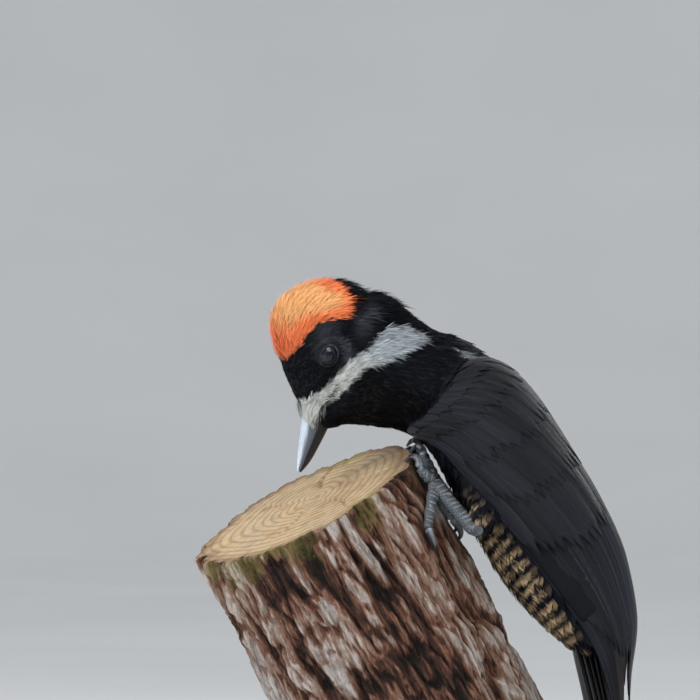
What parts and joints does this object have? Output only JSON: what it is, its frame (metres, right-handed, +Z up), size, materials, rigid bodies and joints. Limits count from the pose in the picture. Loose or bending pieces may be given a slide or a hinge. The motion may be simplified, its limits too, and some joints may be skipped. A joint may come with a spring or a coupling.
{
  "type": "woodpecker",
  "caption": "Still life-size young woodpecker clinging to a short cut length of leaning trunk, head bent down over its sawn end, on a flat display base with rods.",
  "frame": {"origin": "middle of the stand base's underside", "axes": "+Z up; the bird's left side faces -Y, and it climbs up and towards -X"},
  "size_m": [0.236, 0.17, 0.3397],
  "materials": {
    "plumage": "soft black feathers with an orange-red crown and a pale stripe",
    "horn": "satin slate-grey horn, paler along the culmen",
    "eye": "wet, near-black",
    "foot_skin": "dull slate-grey scaly skin",
    "bark": "deeply furrowed red-brown bark with grey ridges, tan sawn ends",
    "stand_wood": "dark stained, satin varnished",
    "stand_steel": "brushed"
  },
  "bodies": {
    "root": {"head": "plumage", "bill_upper": "horn", "bill_lower": "horn", "eye_left": "eye", "eye_right": "eye", "neck": "plumage", "trunk": "plumage", "wing_left": "plumage", "wing_right": "plumage", "tail": "plumage", "thigh_left": "plumage", "shin_left": "foot_skin", "toe_left_1": "foot_skin", "claw_left_1": "horn", "toe_left_2": "foot_skin", "claw_left_2": "horn", "toe_left_3": "foot_skin", "claw_left_3": "horn", "toe_left_4": "foot_skin", "claw_left_4": "horn", "thigh_right": "plumage", "shin_right": "foot_skin", "toe_right_1": "foot_skin", "claw_right_1": "horn", "toe_right_2": "foot_skin", "claw_right_2": "horn", "toe_right_3": "foot_skin", "claw_right_3": "horn", "toe_right_4": "foot_skin", "claw_right_4": "horn", "perch": "bark", "stand_base": "stand_wood", "stand_rod_1": "stand_steel", "stand_rod_2": "stand_steel"}
  },
  "joints": []
}
